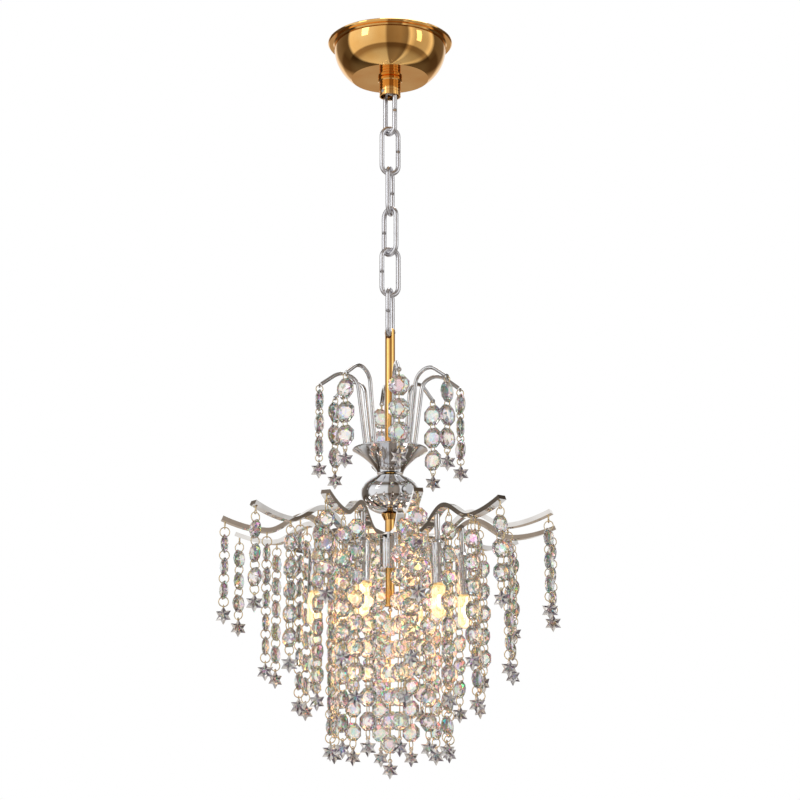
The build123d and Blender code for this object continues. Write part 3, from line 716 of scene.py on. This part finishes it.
for number in range(LAMP_COUNT):
    node = f"bulb_{number + 1}"
    angle = LAMP_START + number * LAMP_STEP
    axis = Vector(joints[f"{node}_pull"]["axis"])
    low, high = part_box(node)
    top = (low + high) / 2 - axis * BULB_LENGTH / 2 * MM
    lean = axis.rotation_difference(Vector((0, 0, -1))).inverted().to_matrix().to_4x4()
    place = Matrix.Translation(top) @ lean @ turn_to(angle)

    body = bmesh.new()
    revolved(body, glass_profile(), place)
    glass_piece = finish_piece(f"{node}.glass", body, lamp_glass, node, [node])
    glass_piece.visible_shadow = False

    body = bmesh.new()
    add_coil(body, place)
    finish_piece(f"{node}.filament", body, filament, node)

    body = bmesh.new()
    pin = [(0, 0), (PIN_R, 0), (PIN_R, BASE_DEPTH), (PIN_R, BASE_DEPTH - 1), (0, BASE_DEPTH - 1)]
    for offset in (-PIN_SPACE, PIN_SPACE):
        revolved(body, pin, place @ Matrix.Translation((0, offset * MM, 0)), 12)
    centre = Matrix.Translation((0, 0, (BASE_DEPTH - 3.0) * MM))
    size = Matrix.Diagonal((*(side * MM for side in BASE_SIZE), 1))
    bmesh.ops.create_cube(body, size=1.0, matrix=place @ centre @ size)
    foot = finish_piece(f"{node}.base", body, porcelain, node)
    rounding = foot.modifiers.new("soft edges", "BEVEL")
    rounding.width = 0.0004
    rounding.segments = 2


# ================================================================ CAD nodes keep their shapes
SKINS = {
    "polished_gold": gold, "chrome": chrome, "bracket_steel": steel, "porcelain": porcelain,
    "crystal": crystal, "star_crystal": star_core, "lamp_glass": lamp_glass,
}
slots = {part["node"]: part["material_slot"] for part in frame["record"]["subparts"]}
for node, piece in frame["nodes"].items():
    skin = warm_chrome if node == "wave_arms" else SKINS[slots[node]]
    piece.data.materials.clear()
    piece.data.materials.append(skin)

# ================================================================ floor, light and camera
FLOOR_Z, FLOOR_R = -1.25, 40.0  # metres
body = bmesh.new()
bmesh.ops.create_circle(
    body, cap_ends=True, segments=96, radius=FLOOR_R, matrix=Matrix.Translation((0, 0, FLOOR_Z)),
)
floor_skin, nodes, links, shader = new_material("pale_floor")
mottle = noise(nodes, links, 3.0)
colour = ramp(nodes, links, mottle, [(0.3, (0.86, 0.86, 0.86)), (0.7, (0.90, 0.90, 0.90))])
links.new(colour, shader.inputs["Base Color"])
shader.inputs["Roughness"].default_value = 0.8
floor_mesh = bpy.data.meshes.new("floor")
body.to_mesh(floor_mesh)
body.free()
floor_mesh.materials.append(floor_skin)
floor = bpy.data.objects.new("floor", floor_mesh)
scene.collection.objects.link(floor)
floor.visible_glossy = False
floor.visible_transmission = False


def panel(level):
    """A studio panel's colour: neutral when lit, warm brown when dark."""
    if level > 0.5:
        return level, level, level
    return level * 1.12, level * 0.94, level * 0.78


def panels(nodes, links, value, stops):
    """A ramp of panel colours through (place, level) stops."""
    return ramp(nodes, links, value, [(place, panel(level)) for place, level in stops])


AROUND = (  # from behind, by way of the left, the front and the right, to behind again
    (0.00, 0.95), (0.08, 1.0), (0.115, 0.20), (0.20, 0.12), (0.235, 0.10), (0.255, 1.05), (0.36, 0.90),
    (0.47, 0.80), (0.485, 0.25), (0.56, 0.32), (0.60, 0.22), (0.62, 1.10), (0.65, 0.60), (0.73, 0.65),
    (0.76, 1.1), (0.785, 0.12), (0.89, 0.16), (0.93, 0.9), (1.00, 0.95),
)
FRONT_UPRIGHT = (  # from straight below to straight above
    (0.0, 0.80), (0.15, 0.60), (0.22, 0.30), (0.29, 0.28), (0.32, 0.9),
    (0.70, 1.0), (0.80, 0.70), (0.84, 0.20), (0.92, 0.20), (1.0, 0.9),
)
REAR_UPRIGHT = (
    (0.0, 0.85), (0.20, 0.70), (0.31, 0.42), (0.44, 0.42), (0.50, 1.0),
    (0.70, 1.0), (0.85, 0.70), (0.90, 0.20), (1.0, 0.9),
)
REAR_SHARE = ((0.0, 1), (0.18, 1), (0.22, 0), (0.78, 0), (0.82, 1), (1.0, 1))


def studio_world():
    """White surround for the camera, and light and dark studio panels for all other rays."""
    world = bpy.data.worlds.new("studio")
    scene.world = world
    world.use_nodes = True
    tree = world.node_tree
    nodes, links = tree.nodes, tree.links
    nodes.clear()
    place = nodes.new("ShaderNodeTexCoord")
    split = nodes.new("ShaderNodeSeparateXYZ")
    links.new(place.outputs["Generated"], split.inputs[0])
    back = nodes.new("ShaderNodeMath")
    back.operation = "MULTIPLY"
    back.inputs[1].default_value = -1.0
    links.new(split.outputs["Y"], back.inputs[0])
    around = nodes.new("ShaderNodeMath")
    around.operation = "ARCTAN2"
    links.new(split.outputs["X"], around.inputs[0])
    links.new(back.outputs[0], around.inputs[1])
    share = spread(nodes, links, around.outputs[0], 0.0, 1.0, -pi, pi)
    height = spread(nodes, links, split.outputs["Z"], 0.0, 1.0, -1.0, 1.0)
    upright = nodes.new("ShaderNodeMix")
    upright.data_type = "RGBA"
    links.new(panels(nodes, links, share, REAR_SHARE), upright.inputs["Factor"])
    links.new(panels(nodes, links, height, FRONT_UPRIGHT), upright.inputs["A"])
    links.new(panels(nodes, links, height, REAR_UPRIGHT), upright.inputs["B"])
    both = nodes.new("ShaderNodeMix")
    both.data_type = "RGBA"
    both.blend_type = "MULTIPLY"
    both.inputs["Factor"].default_value = 1.0
    links.new(panels(nodes, links, share, AROUND), both.inputs["A"])
    links.new(upright.outputs["Result"], both.inputs["B"])
    seen = nodes.new("ShaderNodeLightPath")
    pick = nodes.new("ShaderNodeMix")
    pick.data_type = "RGBA"
    pick.inputs["B"].default_value = (1.0, 1.0, 1.0, 1.0)
    links.new(seen.outputs["Is Camera Ray"], pick.inputs["Factor"])
    links.new(both.outputs["Result"], pick.inputs["A"])
    glow = nodes.new("ShaderNodeBackground")
    links.new(pick.outputs["Result"], glow.inputs["Color"])
    out = nodes.new("ShaderNodeOutputWorld")
    links.new(glow.outputs[0], out.inputs["Surface"])


studio_world()


AIM_Z = -0.35


def softbox(name, place, size, power):
    """A rectangular area light aimed at the middle of the light fitting."""
    data = bpy.data.lights.new(name, "AREA")
    data.shape = "RECTANGLE"
    data.size, data.size_y = size
    data.energy = power
    lamp = bpy.data.objects.new(name, data)
    lamp.location = place
    aim = Vector((0, 0, AIM_Z)) - Vector(place)
    lamp.rotation_mode = "QUATERNION"
    lamp.rotation_quaternion = aim.to_track_quat("-Z", "Y")
    scene.collection.objects.link(lamp)


softbox("key", (-1.5, -1.2, 0.6), (0.5, 0.9), 2.6)
softbox("fill", (1.6, -0.9, 0.2), (0.35, 0.9), 1.6)
softbox("top", (0.3, 0.9, 1.6), (0.8, 0.8), 6.0)

# Overhead light for the floor alone, so that it stays pale under the darker studio panels.
floor_light = bpy.data.lights.new("floor_light", "SUN")
floor_light.energy = 1.6
floor_light.angle = radians(30)
floor_lamp = bpy.data.objects.new("floor_light", floor_light)
scene.collection.objects.link(floor_lamp)
floor_only = bpy.data.collections.new("floor_only")
floor_only.objects.link(floor)
floor_lamp.light_linking.receiver_collection = floor_only


def warm_light(name, place, power, colour, reach, body):
    """A small warm globe of light that moves with a body."""
    data = bpy.data.lights.new(name, "POINT")
    data.energy = power
    data.color = colour
    data.shadow_soft_size = reach
    lamp = bpy.data.objects.new(name, data)
    scene.collection.objects.link(lamp)
    lamp.location = place
    lamp.parent = frame["bodies"][body]


# One in each lamp, a little below its middle.
LAMP_POWER, LAMP_REACH, LAMP_DROP = 0.0010, 0.0042, 0.006
for number in range(LAMP_COUNT):
    node = f"bulb_{number + 1}"
    low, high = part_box(node)
    axis = Vector(joints[f"{node}_pull"]["axis"])
    place = (low + high) / 2 + axis * LAMP_DROP
    warm_light(f"{node}.glow", place, LAMP_POWER, (1.0, 0.62, 0.26), LAMP_REACH, node)

# The strands' inside is lit by all six lamps at once: two soft warm globes on the centre line.
hub_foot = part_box("hub")[0].z
for drop, reach, power in ((0.02, 0.034, 0.080), (0.075, 0.028, 0.042)):
    place = (0, 0, hub_foot - drop)
    warm_light("inner_glow", place, power, (1.0, 0.60, 0.30), reach, "fixture")

CAMERA_PLACE = (0.0, -1.73826, -0.73825)
CAMERA_TILT = 14.02  # degrees above the level
LENS, SHIFT = 101.718, 0.0124
data = bpy.data.cameras.new("camera")
data.lens = LENS
data.sensor_width = 36.0
data.shift_x = SHIFT
data.clip_start, data.clip_end = 0.05, 50.0
camera = bpy.data.objects.new("camera", data)
camera.location = CAMERA_PLACE
camera.rotation_euler = (radians(90 + CAMERA_TILT), 0, 0)
scene.collection.objects.link(camera)
scene.camera = camera
scene.view_settings.view_transform = "Standard"
